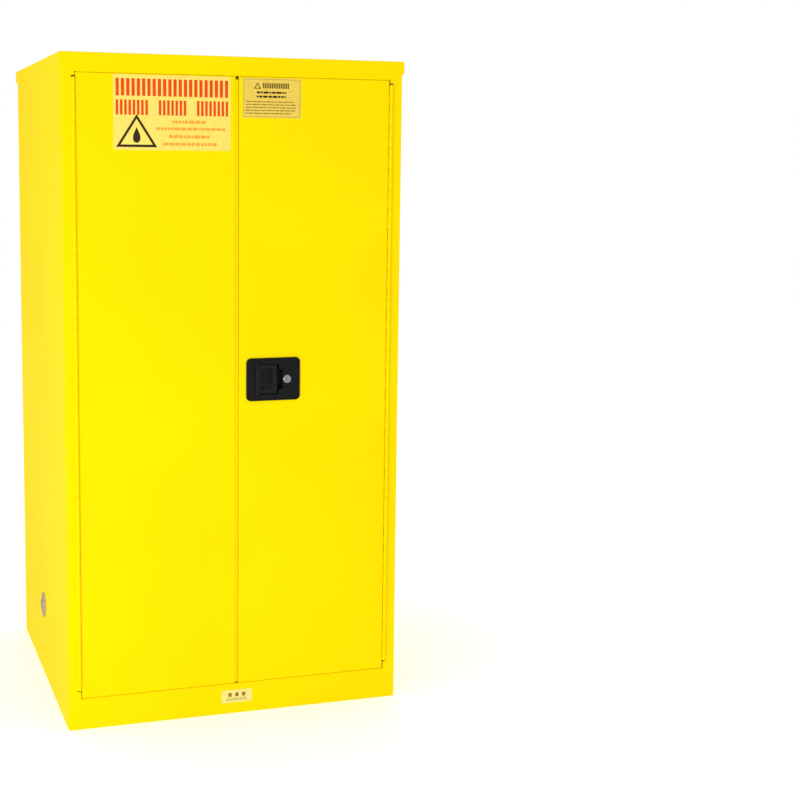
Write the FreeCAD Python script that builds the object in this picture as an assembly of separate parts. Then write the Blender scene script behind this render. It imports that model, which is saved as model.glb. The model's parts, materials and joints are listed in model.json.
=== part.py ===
import FreeCAD
import Part
import math
import os

# Flammable-liquids storage cabinet: double-wall sheet steel, two hinged doors, three-point paddle latch.
# Millimetres. X runs to the right as seen from the front, Y runs from front to back, Z runs up.
# The origin is on the floor, under the middle of the cabinet.

V = FreeCAD.Vector
AXIS_X = V(1, 0, 0)
AXIS_Y = V(0, 1, 0)
AXIS_Z = V(0, 0, 1)

# ---- driving dimensions -------------------------------------------------------------------------
WIDTH = 863.6                 # over the roof cap, 34 in
DEPTH = 863.6                 # over the roof cap, 34 in
HEIGHT = 1651.0               # floor to roof, 65 in
SHEET = 1.2                   # 18 gauge steel
AIR_GAP = 38.1                # between the two walls, 1.5 in
CAP_OVERHANG = 4.2            # roof cap beyond the side walls and the front
CAP_LIP = 32.0                # height of the cap's rim
WALL = AIR_GAP + 2 * SHEET    # thickness of the double wall
TOUCH_GAP = 0.3               # clearance between pieces that only pass each other

SIDE = WIDTH / 2 - CAP_OVERHANG       # outer face of a side wall, from the middle
FRONT = -(DEPTH / 2 - CAP_OVERHANG)   # front face of the frame and of the closed doors
BACK = DEPTH / 2 - CAP_OVERHANG       # outer face of the back wall
LINER = SIDE - WALL                   # inner face of the inner walls, from the middle
BODY_TOP = HEIGHT - SHEET             # upper edge of the outer walls, under the cap

SILL_TOP = 77.0               # top of the base panel, under the doors
OPENING_TOP = 1606.0          # underside of the header
DOOR_CLEAR = 1.5              # gap over and under a door
DOOR_BOTTOM = SILL_TOP + DOOR_CLEAR
DOOR_TOP = OPENING_TOP - DOOR_CLEAR
DOOR_DEPTH = 38.0             # whole thickness of a door
SKIN_DEPTH = 22.0             # the part of it inside the outer skin
DOOR_STEP = 13.0              # inset of the inner pan from the door's edge
DOOR_EDGE = 4.0               # free edge of each door, from the middle
ASTRAGAL_REACH = 2.8          # edge of the strip that closes the gap between the doors
ASTRAGAL_DEPTH = 3.0          # face of that strip, behind the doors' face
STOP_DEPTH = DOOR_DEPTH + 0.8  # face of the door stops, from the front
RETURN_DEPTH = STOP_DEPTH + SHEET
STOP_LIP = 16.0               # how far the top stop reaches down
STRIKE_THICK = 0.8            # stainless plates round the bolt holes

# ---- hinges -------------------------------------------------------------------------------------
HINGE_INSET = 28.0            # hinge axis from the side wall
KNUCKLE_R = 4.75
HINGE_PROUD = 0.4             # hinge axis in front of the doors' face
LEAF = 1.5
LEAF_START = 5.0              # depth at which a leaf begins behind the knuckles
FRAME_LEAF_END = 30.0
DOOR_LEAF_END = 20.0
HINGE_PIN_R = 1.75
RUNNING = 0.05                # radial clearance of a running fit
HINGE_BOTTOM = DOOR_BOTTOM + 22.0
HINGE_TOP = DOOR_TOP - 12.0
KNUCKLES = 58                 # on both leaves together
STILE_TAB_GAP = 1.5           # between a door and the stile's tabs above and below the hinge
STILE_TAB_CLEAR = 4.0         # between a tab and the end of the hinge
HINGE_X = SIDE - HINGE_INSET
STILE_EDGE = HINGE_X + KNUCKLE_R
HINGE_EDGE = HINGE_X - KNUCKLE_R      # hinged edge of each door

# ---- sump and shelves ---------------------------------------------------------------------------
SUMP_FLOOR = 45.0
SUMP_DEPTH = 50.8             # leakproof to 2 in
SUMP_TOP = SUMP_FLOOR + SHEET + SUMP_DEPTH
SHELF_HEIGHTS = {"lower_shelf": 560.0, "upper_shelf": 1080.0}
SHELF_HALF_X = LINER - 4.5
SHELF_HALF_Y = 372.0
SHELF_RIM = 28.0
SHELF_DISH = 8.0              # the spill lip round a shelf's edge
STANDARD_Y = 290.0            # shelf standards, from the middle
STANDARD_WIDTH = 22.0
STANDARD_PROUD = 3.0
SLOT_PITCH = 63.5

# ---- vents and ground stud ----------------------------------------------------------------------
VENT_R = 30.0
VENT_BORE_R = 26.5
VENT_CAP_R = 32.5
VENT_CAP_PROUD = 9.0
LEFT_VENT_Z = 197.0
RIGHT_VENT_Z = 1454.0
STUD_R = 3.175                # 1/4 in
STUD_Y = 360.0
STUD_Z = 110.0
STUD_LENGTH = 14.0
STUD_FOOT = 1.5
STUD_COLLAR = 6.0             # foot and collar together; the rest of the stud is free

# ---- latch --------------------------------------------------------------------------------------
PAN_X = 92.6
PAN_Z = 858.0
PAN_WIDTH = 139.7             # 5.5 in
PAN_HEIGHT = 108.0            # 4.25 in
PAN_PROUD = 4.0
PAN_CORNER = 12.0
CUP_DEPTH = 18.0
CUP_X = (34.0, 151.0)
CUP_HALF_Z = 44.0
RECESS_X = (44.5, 107.0)
RECESS_HALF_Z = 38.0
RECESS_DEPTH = 15.0
SCOOP_X = (104.0, 117.0)       # room for fingertips beside the paddle
SCOOP_HALF_Z = 25.0
PADDLE_AXIS_X = 50.0
PADDLE_AXIS_D = 3.0
PADDLE_BARREL_R = 4.0
PADDLE_END_X = 103.5
PADDLE_HALF_Z = 36.0
PADDLE_THICK = 5.0
PADDLE_RIM = 9.0
PADDLE_DISH = 1.6
PADDLE_PIN_R = 1.6
ARM_Z = (PAN_Z - 28.0, PAN_Z - 16.0)
ARM_HALF = 2.5
ARM_TIP_D = 25.5
SCREW_R = 2.5
SCREW_TIP_D = -2.5
ARM_WINDOW_X = (44.0, 72.0)
ARM_WINDOW_Z = (PAN_Z - 30.0, PAN_Z - 10.0)

BRACKET_D = (18.2, 19.7)
SLIDE_D = (20.0, 23.0)
SLIDE_Z = (PAN_Z - 26.0, PAN_Z - 12.0)
HUB_D = (24.0, 26.5)
HUB_R = 26.0
CRANK_R = 20.0                # hub pins from the hub's middle
CRANK_SWING = math.radians(17.5)
CRANK_PIN_R = 2.5
STUD_HUB_R = 4.0
TAB_D = (27.0, 29.0)
ROD_R = 4.0
ROD_D = 31.0
CRANK_X_REST = CRANK_R * math.cos(CRANK_SWING)
ROD_OFFSET = (CRANK_R + CRANK_X_REST) / 2
UPPER_ROD_X = PAN_X - ROD_OFFSET
LOWER_ROD_X = PAN_X + ROD_OFFSET
ROD_TIP_CLEAR = 1.0           # rod tips inside the door's own outline

LOCK_X = 128.0
LOCK_R = 9.5
LOCK_PLUG_R = 6.0
LOCK_PROUD = 2.5
LOCK_BACK_D = 20.0
CAM_D = (20.6, 22.4)


# ---- helpers ------------------------------------------------------------------------------------
def box(x, y, z):
    """A box from three (low, high) pairs."""
    corner = V(min(x), min(y), min(z))
    return Part.makeBox(abs(x[1] - x[0]), abs(y[1] - y[0]), abs(z[1] - z[0]), corner)


def deep(near, far):
    """Y range of a layer given by its two depths behind the front face."""
    return (FRONT + near, FRONT + far)


def rod_along(axis, start, radius, length):
    return Part.makeCylinder(radius, length, start, axis)


def join(*shapes):
    """One solid from touching or overlapping ones."""
    whole = shapes[0].multiFuse(list(shapes[1:])) if len(shapes) > 1 else shapes[0]
    return whole.removeSplitter()


def plate_xz(x, z, y, corner, edge=0.0):
    """A plate facing the front, with round corners and, if asked, a rounded front edge."""
    plate = box(x, y, z)
    upright = [e for e in plate.Edges if abs(e.tangentAt(e.FirstParameter).y) > 0.99]
    plate = plate.makeFillet(corner, upright)
    if edge:
        front = [e for e in plate.Edges if e.BoundBox.YMax < min(y) + 1e-6]
        plate = plate.makeFillet(edge, front)
    return plate


def hexagon(axis, centre, across_flats, height):
    radius = across_flats / math.sqrt(3)
    side_dir = AXIS_Z.cross(axis) if abs(axis.z) < 0.5 else AXIS_X
    up_dir = axis.cross(side_dir)
    points = []
    for i in range(7):
        angle = math.radians(60 * i)
        points.append(centre + side_dir * (radius * math.cos(angle)) + up_dir * (radius * math.sin(angle)))
    return Part.Face(Part.makePolygon(points)).extrude(axis * height)


def mirror_x(shape):
    return shape.mirror(V(0, 0, 0), AXIS_X)


def save(name, shape):
    assert shape.isValid(), name
    shape.exportStep(os.path.join("parts", name + ".step"))
    print(f"{name}: {len(shape.Solids)} solid(s), {shape.Volume / 1000:.1f} cm3")


# ---- outer shell --------------------------------------------------------------------------------
def roof_cap():
    """Inverted pan with a rim, turned in at the bottom to meet the walls."""
    half_x, half_y = WIDTH / 2, DEPTH / 2
    z = (HEIGHT - CAP_LIP, HEIGHT)
    outer = box((-half_x, half_x), (-half_y, half_y), z)
    edges = [e for e in outer.Edges if e.BoundBox.ZMin > HEIGHT - 1e-6]
    outer = outer.makeFillet(2.0, edges)
    room = box((-half_x + SHEET, half_x - SHEET), (-half_y + SHEET, half_y - SHEET),
               (z[0] + SHEET, HEIGHT - SHEET))
    mouth = box((-SIDE, SIDE), (FRONT, BACK), (z[0] - 1, z[0] + 2))
    return outer.cut(room).cut(mouth)


def outer_side(vent_z):
    """Left outer wall with its vent hole and a foot flange to stand on."""
    wall = box((-SIDE, -SIDE + SHEET), (FRONT + SHEET, BACK), (0, BODY_TOP))
    foot = box((-SIDE, -SIDE + 32), (FRONT + SHEET, BACK - SHEET), (0, SHEET))
    vent = rod_along(AXIS_X, V(-SIDE - 1, 0, vent_z), VENT_R, SHEET + 2)
    return join(wall, foot).cut(vent)


def outer_back():
    wall = box((-SIDE + SHEET, SIDE - SHEET), (BACK - SHEET, BACK), (0, BODY_TOP))
    foot = box((-SIDE + 32.5, SIDE - 32.5), (BACK - 32, BACK), (0, SHEET))
    return join(wall, foot)


def outer_floor():
    return box((-SIDE + SHEET, SIDE - SHEET), (FRONT + SHEET, BACK - SHEET), (SHEET, 2 * SHEET))


# ---- front frame --------------------------------------------------------------------------------
def left_stile():
    """Front corner post: its face, a tab past each end of the hinge, and the return beside the door."""
    face = box((-SIDE, -STILE_EDGE), deep(0, SHEET), (0, BODY_TOP))
    tab_x = (-STILE_EDGE, -HINGE_EDGE - STILE_TAB_GAP)
    lower_tab = box(tab_x, deep(0, SHEET), (SILL_TOP, HINGE_BOTTOM - STILE_TAB_CLEAR))
    upper_tab = box(tab_x, deep(0, SHEET), (HINGE_TOP + STILE_TAB_CLEAR, OPENING_TOP))
    wall_x = (-STILE_EDGE - SHEET, -STILE_EDGE)
    wall = box(wall_x, deep(0, RETURN_DEPTH), (SILL_TOP - SHEET, OPENING_TOP + SHEET))
    return join(face, lower_tab, upper_tab, wall)


def header():
    """Panel over the doors, with its return and a hole for the upper bolt."""
    x = (-STILE_EDGE, STILE_EDGE)
    face = box(x, deep(0, SHEET), (OPENING_TOP, BODY_TOP))
    shelf = box(x, deep(0, RETURN_DEPTH), (OPENING_TOP, OPENING_TOP + SHEET))
    hole = rod_along(AXIS_Z, V(UPPER_ROD_X, FRONT + ROD_D, OPENING_TOP - 1), ROD_R + 1, SHEET + 2)
    return join(face, shelf).cut(hole)


def base_front():
    """Panel under the doors, with the sill, a foot flange and a hole for the lower bolt."""
    x = (-STILE_EDGE, STILE_EDGE)
    face = box(x, deep(0, SHEET), (0, SILL_TOP))
    sill = box(x, deep(0, RETURN_DEPTH), (SILL_TOP - SHEET, SILL_TOP))
    foot = box((-SIDE + 32.5, SIDE - 32.5), deep(0, 32), (0, SHEET))
    hole = rod_along(AXIS_Z, V(LOWER_ROD_X, FRONT + ROD_D, SILL_TOP - 2), ROD_R + 1, SHEET + 2)
    return join(face, sill, foot).cut(hole)


def door_stops():
    """Four strips welded round the opening that the doors close on; the lowest one dams the sump."""
    depth = deep(STOP_DEPTH, RETURN_DEPTH)
    left = box((-STILE_EDGE, -LINER), depth, (SILL_TOP, OPENING_TOP))
    top = box((-LINER, LINER), depth, (OPENING_TOP - STOP_LIP, OPENING_TOP))
    bottom = box((-LINER, LINER), depth, (SILL_TOP, SUMP_TOP))
    return Part.makeCompound([left, mirror_x(left), top, bottom])


def strike(x, z):
    """Stainless plate round a bolt hole, on the header or on the sill."""
    plate = box((x - 19, x + 19), deep(ROD_D - 7.5, ROD_D + 7), (z, z + STRIKE_THICK))
    return plate.cut(rod_along(AXIS_Z, V(x, FRONT + ROD_D, z - 1), ROD_R + 1, STRIKE_THICK + 2))


# ---- inner lining -------------------------------------------------------------------------------
LINER_FRONT = FRONT + RETURN_DEPTH
LINER_BACK = BACK - WALL
LINER_TOP = OPENING_TOP + SHEET + 2.0


def left_liner(vent_z):
    wall = box((-LINER - SHEET, -LINER), (LINER_FRONT, LINER_BACK), (SUMP_FLOOR, LINER_TOP))
    vent = rod_along(AXIS_X, V(-LINER - SHEET - 1, 0, vent_z), VENT_R, SHEET + 2)
    return wall.cut(vent)


def back_liner():
    return box((-LINER - SHEET, LINER + SHEET), (LINER_BACK, LINER_BACK + SHEET), (SUMP_FLOOR, LINER_TOP))


def top_liner():
    x = (-LINER - SHEET, LINER + SHEET)
    return box(x, (LINER_FRONT, LINER_BACK + SHEET), (LINER_TOP, LINER_TOP + SHEET))


def sump_pan():
    """Welded tray in the bottom that holds a spill."""
    x = (-LINER, LINER)
    y = (LINER_FRONT, LINER_BACK)
    tray = box(x, y, (SUMP_FLOOR, SUMP_TOP))
    room_z = (SUMP_FLOOR + SHEET, SUMP_TOP + 1)
    room = box((x[0] + SHEET, x[1] - SHEET), (y[0] + SHEET, y[1] - SHEET), room_z)
    return tray.cut(room)


# ---- shelves ------------------------------------------------------------------------------------
def shelf(z):
    """Galvanised tray shelf: a dished floor, a rim all round and a hem under the rim."""
    x = (-SHELF_HALF_X, SHELF_HALF_X)
    y = (-SHELF_HALF_Y, SHELF_HALF_Y)
    body = box(x, y, (z - SHELF_RIM, z))
    dish = box((x[0] + SHEET, x[1] - SHEET), (y[0] + SHEET, y[1] - SHEET), (z - SHELF_DISH, z + 1))
    hollow_z = (z - SHELF_RIM + SHEET, z - SHELF_DISH - SHEET)
    hollow = box((x[0] + SHEET, x[1] - SHEET), (y[0] + SHEET, y[1] - SHEET), hollow_z)
    hem = 12.0
    mouth_z = (z - SHELF_RIM - 1, z - SHELF_RIM + SHEET)
    mouth = box((x[0] + hem, x[1] - hem), (y[0] + hem, y[1] - hem), mouth_z)
    return body.cut(dish).cut(hollow).cut(mouth)


def shelf_standards():
    """Four slotted uprights, two on each side wall."""
    posts = []
    bottom, top = SUMP_TOP + 15, OPENING_TOP - 30
    slots = int((top - bottom) / SLOT_PITCH)
    for side in (-1, 1):
        for y in (-STANDARD_Y, STANDARD_Y):
            x = (side * LINER, side * (LINER - STANDARD_PROUD))
            post = box(x, (y - STANDARD_WIDTH / 2, y + STANDARD_WIDTH / 2), (bottom, top))
            holes = []
            for i in range(slots):
                z = bottom + (i + 0.5) * SLOT_PITCH
                hole_x = (side * (LINER - 1), side * (LINER - STANDARD_PROUD - 1))
                holes.append(box(hole_x, (y - 3, y + 3), (z - 9, z + 9)))
            posts.append(post.cut(Part.makeCompound(holes)))
    return Part.makeCompound(posts)


def shelf_clips():
    """Eight hooks in the standards' slots; each shelf's rim rests on four."""
    clips = []
    for z in SHELF_HEIGHTS.values():
        under = z - SHELF_RIM
        for side in (-1, 1):
            for y in (-STANDARD_Y, STANDARD_Y):
                face = side * (LINER - STANDARD_PROUD)
                back = box((face, face - side * 1.4), (y - 8, y + 8), (under - 26, under))
                ledge = box((face, face - side * 16), (y - 8, y + 8), (under - 2.5, under))
                clips.append(join(back, ledge))
    return Part.makeCompound(clips)


# ---- vents and ground stud ----------------------------------------------------------------------
def left_vent_tube(vent_z):
    """Threaded vent sleeve that joins the two walls, with a flange on the inside."""
    start = V(-SIDE, 0, vent_z)
    sleeve = rod_along(AXIS_X, start, VENT_R, WALL + 1.5)
    flange = rod_along(AXIS_X, V(-LINER, 0, vent_z), VENT_R + 6, 1.5)
    bore = rod_along(AXIS_X, V(-SIDE - 1, 0, vent_z), VENT_BORE_R, WALL + 5)
    return join(sleeve, flange).cut(bore)


def left_vent_cap(vent_z):
    """Metal bung: round head with a raised centre square, screwed into the sleeve."""
    head = rod_along(V(-1, 0, 0), V(-SIDE, 0, vent_z), VENT_CAP_R, VENT_CAP_PROUD - 4)
    rim = [e for e in head.Edges if e.BoundBox.XMax < -SIDE - VENT_CAP_PROUD + 4.01]
    head = head.makeFillet(1.5, rim)
    square = box((-SIDE - VENT_CAP_PROUD, -SIDE - 2), (-11, 11), (vent_z - 11, vent_z + 11))
    plug = rod_along(AXIS_X, V(-SIDE - 0.5, 0, vent_z), VENT_BORE_R, 15.5)
    hollow = rod_along(AXIS_X, V(-SIDE + 1, 0, vent_z), VENT_BORE_R - 4, 20)
    return join(head, square, plug).cut(hollow)


def arrester(side, vent_z):
    """Flame arrester: a perforated disc in the sleeve's inner end."""
    start_x = side * (LINER + 8)
    disc = rod_along(V(-side, 0, 0), V(start_x, 0, vent_z), VENT_BORE_R, 2.0)
    holes = []
    pitch = 7.0
    for row in range(-3, 4):
        for column in range(-3, 4):
            y = (column + 0.5 * (row % 2)) * pitch
            z = row * pitch * 0.866
            if math.hypot(y, z) < VENT_BORE_R - 5:
                at = V(start_x + side, y, vent_z + z)
                holes.append(rod_along(V(-side, 0, 0), at, 2.2, 5))
    return disc.cut(Part.makeCompound(holes))


def ground_stud():
    """Grounding stud with a weld foot and a hexagonal collar, on the right outer wall."""
    start = V(SIDE, STUD_Y, STUD_Z)
    shank = rod_along(AXIS_X, start, STUD_R, STUD_LENGTH)
    foot = rod_along(AXIS_X, start, 8.0, STUD_FOOT)
    collar = hexagon(AXIS_X, start, 11.0, STUD_COLLAR)
    return join(shank, foot, collar)


# ---- hinges (made on the left, mirrored for the right) ------------------------------------------
def hinge_leaf(on_door):
    """One leaf of the piano hinge, with every second knuckle."""
    toward = 1 if on_door else -1
    outer = -HINGE_X + toward * KNUCKLE_R
    leaf_x = (outer, outer - toward * LEAF)
    end = DOOR_LEAF_END if on_door else FRAME_LEAF_END
    pieces = [box(leaf_x, deep(LEAF_START, end), (HINGE_BOTTOM, HINGE_TOP))]
    pitch = (HINGE_TOP - HINGE_BOTTOM) / KNUCKLES
    axis_y = FRONT - HINGE_PROUD
    for i in range(0 if on_door else 1, KNUCKLES, 2):
        low = HINGE_BOTTOM + i * pitch + TOUCH_GAP / 2
        height = pitch - TOUCH_GAP
        pieces.append(rod_along(AXIS_Z, V(-HINGE_X, axis_y, low), KNUCKLE_R, height))
        pieces.append(box(leaf_x, deep(-HINGE_PROUD, LEAF_START), (low, low + height)))
    bore_r = HINGE_PIN_R + (RUNNING if on_door else 0)
    bore = rod_along(AXIS_Z, V(-HINGE_X, axis_y, HINGE_BOTTOM - 1), bore_r, HINGE_TOP - HINGE_BOTTOM + 2)
    return pieces[0].multiFuse(pieces[1:]).cut(bore)


def hinge_pin():
    start = V(-HINGE_X, FRONT - HINGE_PROUD, HINGE_BOTTOM)
    return rod_along(AXIS_Z, start, HINGE_PIN_R, HINGE_TOP - HINGE_BOTTOM)


# ---- doors --------------------------------------------------------------------------------------
def door_skin():
    """Left outer door pan: rounded face, four edges and a flange turned in behind."""
    x = (-HINGE_EDGE, -DOOR_EDGE)
    z = (DOOR_BOTTOM, DOOR_TOP)
    block = box(x, deep(0, SKIN_DEPTH), z)
    front = [e for e in block.Edges if e.BoundBox.YMax < FRONT + 1e-6]
    block = block.makeFillet(3.0, front)
    inside_z = (z[0] + SHEET, z[1] - SHEET)
    inside = box((x[0] + SHEET, x[1] - SHEET), deep(SHEET, SKIN_DEPTH - SHEET), inside_z)
    front = [e for e in inside.Edges if e.BoundBox.YMax < FRONT + SHEET + 1e-6]
    inside = inside.makeFillet(3.0 - SHEET, front)
    mouth = box((x[0] + DOOR_STEP + SHEET, x[1] - DOOR_STEP - SHEET), deep(SHEET, SKIN_DEPTH + 1),
                (z[0] + DOOR_STEP + SHEET, z[1] - DOOR_STEP - SHEET))
    return block.cut(inside).cut(mouth)


def door_liner():
    """Left inner door pan, stepped in from the door's edge."""
    x = (-HINGE_EDGE + DOOR_STEP, -DOOR_EDGE - DOOR_STEP)
    z = (DOOR_BOTTOM + DOOR_STEP, DOOR_TOP - DOOR_STEP)
    block = box(x, deep(SKIN_DEPTH, DOOR_DEPTH), z)
    back = [e for e in block.Edges if e.BoundBox.YMin > FRONT + DOOR_DEPTH - 1e-6]
    block = block.makeFillet(2.5, back)
    room = box((x[0] + SHEET, x[1] - SHEET), deep(SKIN_DEPTH - 1, DOOR_DEPTH - SHEET),
               (z[0] + SHEET, z[1] - SHEET))
    back = [e for e in room.Edges if e.BoundBox.YMin > FRONT + DOOR_DEPTH - SHEET - 1e-6]
    room = room.makeFillet(2.5 - SHEET, back)
    return block.cut(room)


def right_door_skin():
    """Mirror of the left skin, with the cut-out for the latch cup."""
    hole_x = (CUP_X[0] - 1, CUP_X[1] + 1)
    hole_z = (PAN_Z - CUP_HALF_Z - 1, PAN_Z + CUP_HALF_Z + 1)
    cup_hole = plate_xz(hole_x, hole_z, deep(-1, SHEET + 1), 6.0)
    return mirror_x(door_skin()).cut([cup_hole] + screw_shanks())


def right_door_liner():
    """Mirror of the left liner, with the three holes that the bolts pass through."""
    pan = mirror_x(door_liner())
    edge_x = DOOR_EDGE + DOOR_STEP
    bolt_hole = box((edge_x - 1, edge_x + SHEET + 1), deep(24, 32), (SLIDE_Z[0] + 0.2, SLIDE_Z[1] - 0.2))
    top = DOOR_TOP - DOOR_STEP
    bottom = DOOR_BOTTOM + DOOR_STEP
    upper = rod_along(AXIS_Z, V(UPPER_ROD_X, FRONT + ROD_D, top - 3), ROD_R + 0.6, 6)
    lower = rod_along(AXIS_Z, V(LOWER_ROD_X, FRONT + ROD_D, bottom - 3), ROD_R + 0.6, 6)
    return pan.cut(bolt_hole).cut(upper).cut(lower)


def astragal():
    """Strip on the left door's free edge that closes the gap between the doors."""
    z = (DOOR_BOTTOM + 3, DOOR_TOP - 8)
    lip = box((-DOOR_EDGE, ASTRAGAL_REACH), deep(ASTRAGAL_DEPTH, ASTRAGAL_DEPTH + SHEET), z)
    web = box((-DOOR_EDGE, -DOOR_EDGE + SHEET), deep(ASTRAGAL_DEPTH, 20), z)
    return join(lip, web)


def centre_keeper():
    """Plate on the left door's inner pan that the centre bolt closes into."""
    x = -DOOR_EDGE - DOOR_STEP
    plate = box((x, x + SHEET), deep(23.5, 36), (SLIDE_Z[0] - 12, SLIDE_Z[1] + 12))
    return plate.cut(box((x - 1, x + SHEET + 1), deep(26.5, 33.5), (SLIDE_Z[0] - 1, SLIDE_Z[1] + 1)))


# ---- latch: fixed pieces ------------------------------------------------------------------------
def handle_pan():
    """Moulded latch plate with the cup that the paddle lies in."""
    half = PAN_WIDTH / 2
    face = plate_xz((PAN_X - half, PAN_X + half), (PAN_Z - PAN_HEIGHT / 2, PAN_Z + PAN_HEIGHT / 2),
                    deep(-PAN_PROUD, 0), PAN_CORNER, 2.0)
    cup = plate_xz(CUP_X, (PAN_Z - CUP_HALF_Z, PAN_Z + CUP_HALF_Z), deep(-1, CUP_DEPTH), 5.0)
    recess = plate_xz(RECESS_X, (PAN_Z - RECESS_HALF_Z, PAN_Z + RECESS_HALF_Z),
                      deep(-PAN_PROUD - 1, RECESS_DEPTH), 3.0)
    scoop = plate_xz(SCOOP_X, (PAN_Z - SCOOP_HALF_Z, PAN_Z + SCOOP_HALF_Z),
                     deep(-PAN_PROUD - 1, RECESS_DEPTH), 3.0)
    window = box(ARM_WINDOW_X, deep(RECESS_DEPTH - 1, CUP_DEPTH + 1), ARM_WINDOW_Z)
    lock = rod_along(AXIS_Y, V(LOCK_X, FRONT - PAN_PROUD - 1, PAN_Z), LOCK_R, CUP_DEPTH + PAN_PROUD + 2)
    pin_z = PAN_Z - RECESS_HALF_Z - 3
    pin = rod_along(AXIS_Z, V(PADDLE_AXIS_X, FRONT + PADDLE_AXIS_D, pin_z), PADDLE_PIN_R,
                    2 * RECESS_HALF_Z + 6)
    return join(face, cup).cut([recess, scoop, window, lock, pin] + screw_shanks())


def paddle_pin():
    low = PAN_Z - RECESS_HALF_Z - 3
    return rod_along(AXIS_Z, V(PADDLE_AXIS_X, FRONT + PADDLE_AXIS_D, low), PADDLE_PIN_R,
                     2 * RECESS_HALF_Z + 6)


def latch_bracket():
    """Steel plate behind the cup that carries the hub and the slide."""
    x = (CUP_X[0] - 12, CUP_X[1] + 12)
    z = (PAN_Z - CUP_HALF_Z - 14, PAN_Z + CUP_HALF_Z + 14)
    plate = plate_xz(x, z, deep(*BRACKET_D), 6.0)
    window = box(ARM_WINDOW_X, deep(BRACKET_D[0] - 1, BRACKET_D[1] + 1), ARM_WINDOW_Z)
    lock = rod_along(AXIS_Y, V(LOCK_X, FRONT + BRACKET_D[0] - 1, PAN_Z), LOCK_R, 4)
    stud = rod_along(AXIS_Y, V(PAN_X, FRONT + BRACKET_D[0] - 1, PAN_Z), STUD_HUB_R, 4)
    return plate.cut([window, lock, stud] + screw_shanks())


def hub_stud():
    """Shouldered pivot of the hub, with its retaining ring."""
    length = HUB_D[1] + 1.6 - BRACKET_D[0]
    shank = rod_along(AXIS_Y, V(PAN_X, FRONT + BRACKET_D[0], PAN_Z), STUD_HUB_R, length)
    shoulder = rod_along(AXIS_Y, V(PAN_X, FRONT + BRACKET_D[1], PAN_Z), 7.0,
                         HUB_D[0] - TOUCH_GAP - BRACKET_D[1])
    ring = rod_along(AXIS_Y, V(PAN_X, FRONT + HUB_D[1] + TOUCH_GAP, PAN_Z), 6.0, 1.0)
    return join(shank, shoulder, ring)


def rod_guide(x, z):
    """Block on the door skin's inside that a rod runs through, 20 high."""
    block = box((x - 9, x + 9), deep(SHEET, ROD_D + ROD_R + 1), (z - 10, z + 10))
    feet = box((x - 20, x + 20), deep(SHEET, 3 * SHEET), (z - 10, z + 10))
    bore = rod_along(AXIS_Z, V(x, FRONT + ROD_D, z - 11), ROD_R + RUNNING, 22)
    return join(block, feet).cut(bore)


def rod_guides():
    places = [(UPPER_ROD_X, PAN_Z + 150), (UPPER_ROD_X, DOOR_TOP - 60),
              (LOWER_ROD_X, PAN_Z - 150), (LOWER_ROD_X, DOOR_BOTTOM + 60)]
    return Part.makeCompound([rod_guide(x, z) for x, z in places])


def screw_shanks():
    """The four screw shanks, blind in the latch plate and through the door skin and the bracket."""
    places = [(x, z) for x in (CUP_X[0] - 6, CUP_X[1] + 6)
              for z in (PAN_Z - CUP_HALF_Z + 8, PAN_Z + CUP_HALF_Z - 8)]
    return [rod_along(AXIS_Y, V(x, FRONT + SCREW_TIP_D, z), SCREW_R, BRACKET_D[1] - SCREW_TIP_D)
            for x, z in places]


def pan_screws():
    """Four screws that draw the latch plate against the door through the bracket."""
    screws = []
    for shank in screw_shanks():
        centre = shank.CenterOfMass
        head = hexagon(AXIS_Y, V(centre.x, FRONT + BRACKET_D[1], centre.z), 8.0, 3.5)
        screws.append(join(shank, head))
    return Part.makeCompound(screws)


def lock_cylinder():
    """Chromed lock barrel with a rounded face ring and a bore for the plug."""
    barrel = rod_along(AXIS_Y, V(LOCK_X, FRONT - PAN_PROUD, PAN_Z), LOCK_R, PAN_PROUD + LOCK_BACK_D)
    ring = rod_along(AXIS_Y, V(LOCK_X, FRONT - PAN_PROUD - LOCK_PROUD, PAN_Z), LOCK_R + 1, LOCK_PROUD)
    edge = [e for e in ring.Edges if e.BoundBox.YMax < FRONT - PAN_PROUD - LOCK_PROUD + 1e-6]
    ring = ring.makeFillet(1.2, edge)
    bore = rod_along(AXIS_Y, V(LOCK_X, FRONT - 20, PAN_Z), LOCK_PLUG_R + RUNNING, 60)
    return join(barrel, ring).cut(bore)


def return_spring():
    """Torsion coil round the shoulder of the hub's stud, as closed turns."""
    turns = []
    wire = 0.45
    for i in range(3):
        y = FRONT + BRACKET_D[1] + wire + 0.2 + i * 1.0
        turns.append(Part.makeTorus(8.0, wire, V(PAN_X, y, PAN_Z), AXIS_Y))
    return Part.makeCompound(turns)


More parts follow.
